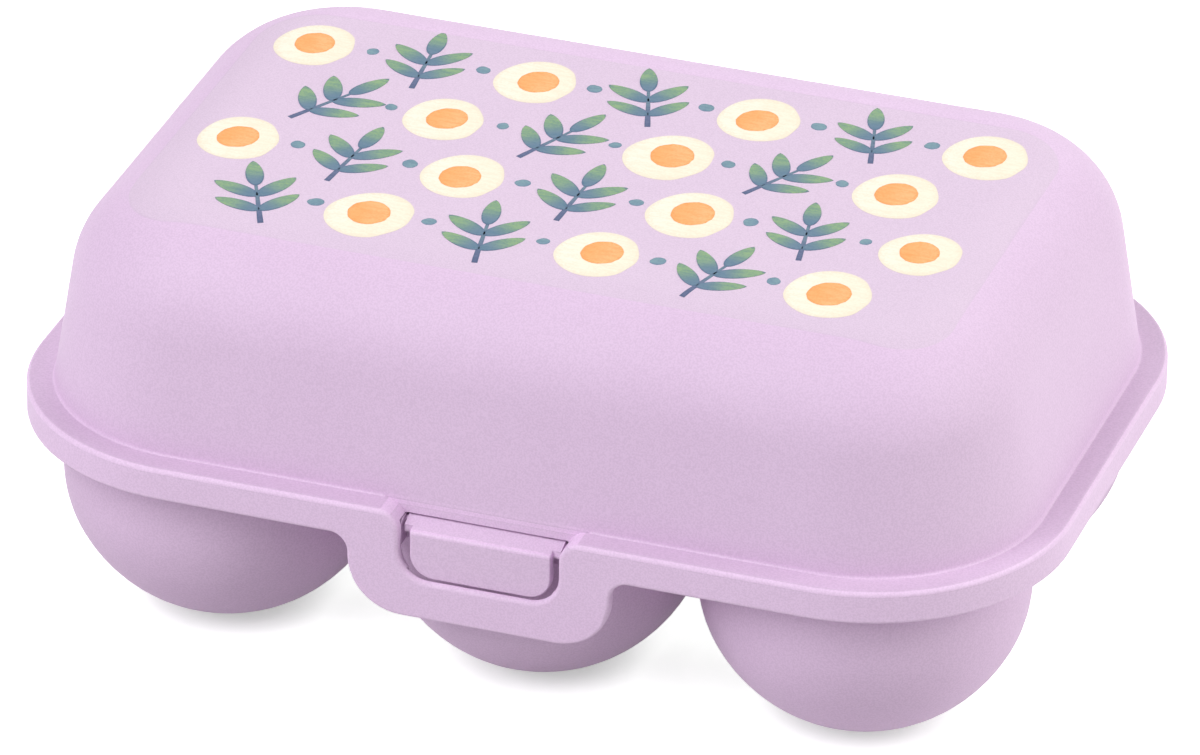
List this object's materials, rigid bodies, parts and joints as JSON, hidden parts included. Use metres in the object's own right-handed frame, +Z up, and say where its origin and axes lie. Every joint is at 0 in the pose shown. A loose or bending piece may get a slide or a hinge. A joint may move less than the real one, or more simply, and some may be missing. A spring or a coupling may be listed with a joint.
{
  "type": "egg box",
  "caption": "Hinged egg carrier: a tray of round cups under a domed lid with a printed label, closed by a front tab with a sprung catch in its window.",
  "frame": {"origin": "on the table under the middle of the box's footprint", "axes": "+X along the length, -Y towards the front tab, +Z up"},
  "size_m": [0.1546, 0.108, 0.0663],
  "materials": {
    "tray_plastic": "fine satin moulding",
    "lid_plastic": "fine satin moulding",
    "label_film": "printed film, soft sheen",
    "catch_plastic": "fine satin moulding",
    "pin_plastic": "smooth moulding"
  },
  "bodies": {
    "tray": {"base_tray": "tray_plastic", "hinge_pin_left": "pin_plastic", "hinge_pin_right": "pin_plastic"},
    "lid": {"lid_shell": "lid_plastic", "lid_label": "label_film"},
    "catch": {"latch_catch": "catch_plastic"}
  },
  "joints": [
    {"name": "lid_hinge", "type": "hinge", "parent": "tray", "child": "lid", "pos_m": [0, 0.05175, 0.0281], "axis": [-1, 0, 0], "range_deg": [0, 110]},
    {"name": "catch_press", "type": "hinge", "parent": "tray", "child": "catch", "pos_m": [0, -0.04955, 0.0314], "axis": [1, 0, 0], "range_deg": [0, 7], "stiffness_Nm_per_rad": 0.06}
  ]
}
